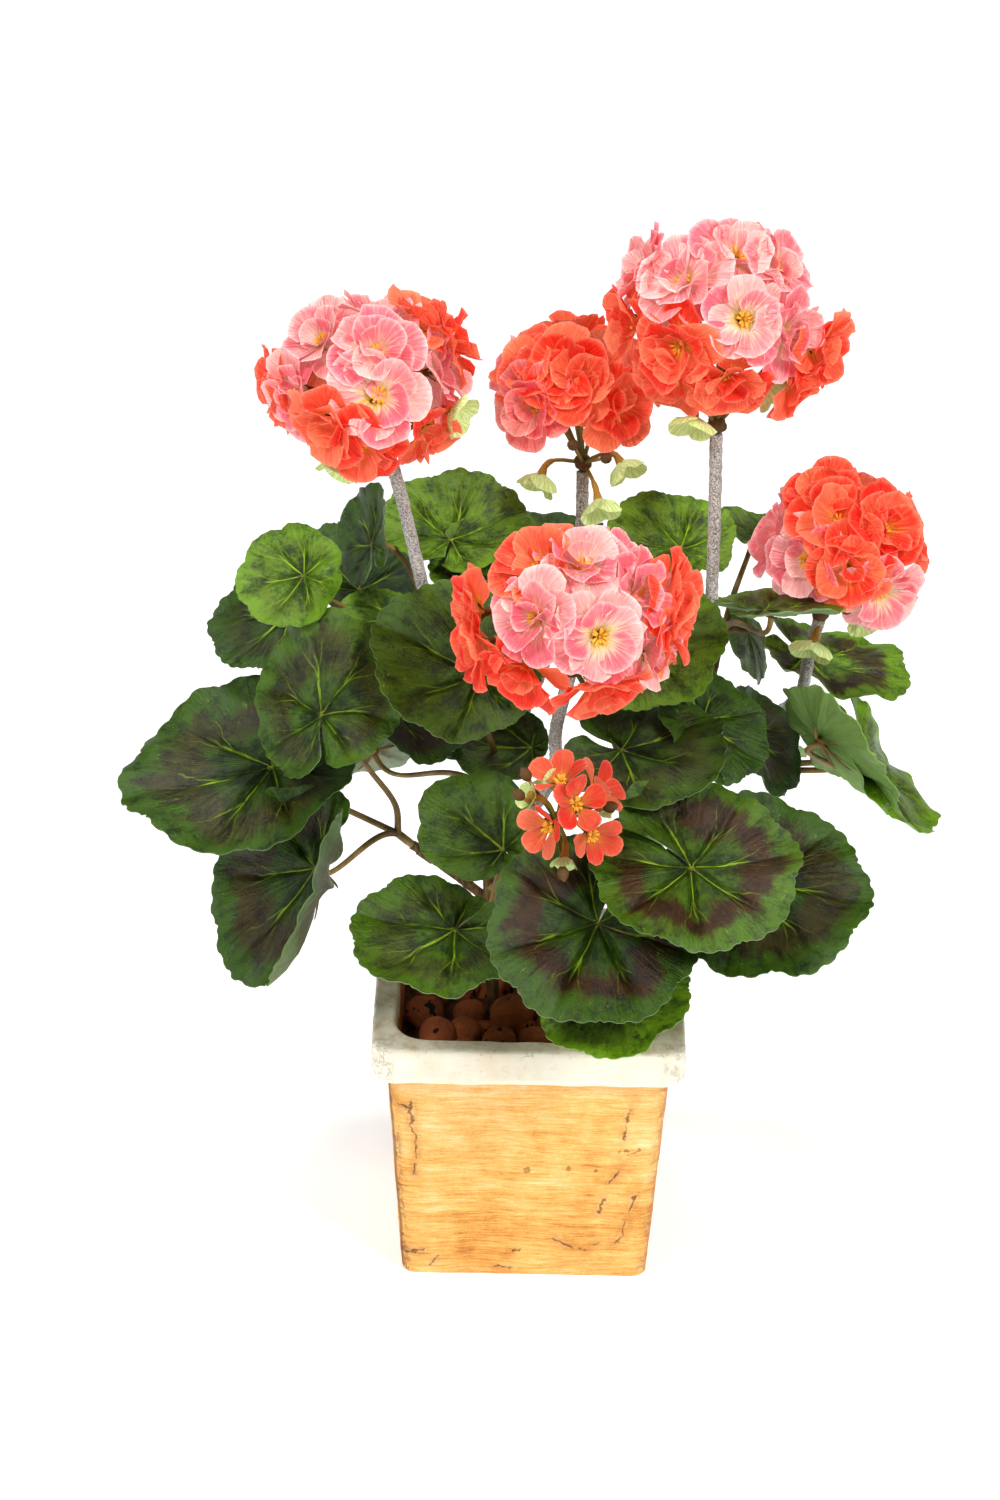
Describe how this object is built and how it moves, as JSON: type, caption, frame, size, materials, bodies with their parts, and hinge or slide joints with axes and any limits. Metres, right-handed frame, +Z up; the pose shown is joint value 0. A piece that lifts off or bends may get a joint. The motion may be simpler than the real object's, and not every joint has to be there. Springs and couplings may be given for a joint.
{
  "type": "potted geranium",
  "caption": "Square clay pot of geranium with round lobed leaves on petioles and ball heads of layered flowers on upright stalks.",
  "frame": {"origin": "centre of the pot's underside", "axes": "+Z up, -Y towards the front, the side the picture shows, +X to the right as seen from the front"},
  "size_m": [0.3396, 0.26, 0.4463],
  "materials": {
    "clay_pot": "matt ochre wash with a cream rim",
    "clay_pellets": "matt fired clay",
    "woody_stem": "satin brown",
    "bright_leaves": "satin, printed with a brown zone and yellow veins",
    "dark_leaves": "satin, printed with a brown zone and yellow veins",
    "flocked_stalk": "matt grey flock",
    "pink_petals": "matt, with paler edges and yellow centres",
    "coral_petals": "matt, with paler edges"
  },
  "bodies": {
    "root": {"pot": "clay_pot", "filling": "clay_pellets", "woody_stem": "woody_stem", "leafy_stem_left": "dark_leaves", "leafy_stem_upper_left": "bright_leaves", "leafy_stem_low_left": "dark_leaves", "leafy_stem_middle": "dark_leaves", "leafy_stem_upper_middle": "bright_leaves", "leafy_stem_front_left": "bright_leaves", "leafy_stem_front": "dark_leaves", "leafy_stem_front_right": "bright_leaves", "leafy_stem_right": "dark_leaves", "leafy_stem_upper_right": "bright_leaves", "leafy_stem_top_right": "bright_leaves", "leafy_stem_far_right": "bright_leaves", "leafy_stem_back_left": "dark_leaves", "leafy_stem_back_right": "bright_leaves", "flower_stalk_a": "flocked_stalk", "flower_head_a": "pink_petals", "flower_stalk_b": "flocked_stalk", "flower_head_b": "coral_petals", "flower_stalk_c": "flocked_stalk", "flower_head_c": "pink_petals", "flower_stalk_d": "flocked_stalk", "flower_head_d": "pink_petals", "flower_stalk_e": "flocked_stalk", "flower_head_e": "coral_petals", "flower_stalk_f": "flocked_stalk", "flower_head_f": "coral_petals"}
  },
  "joints": []
}
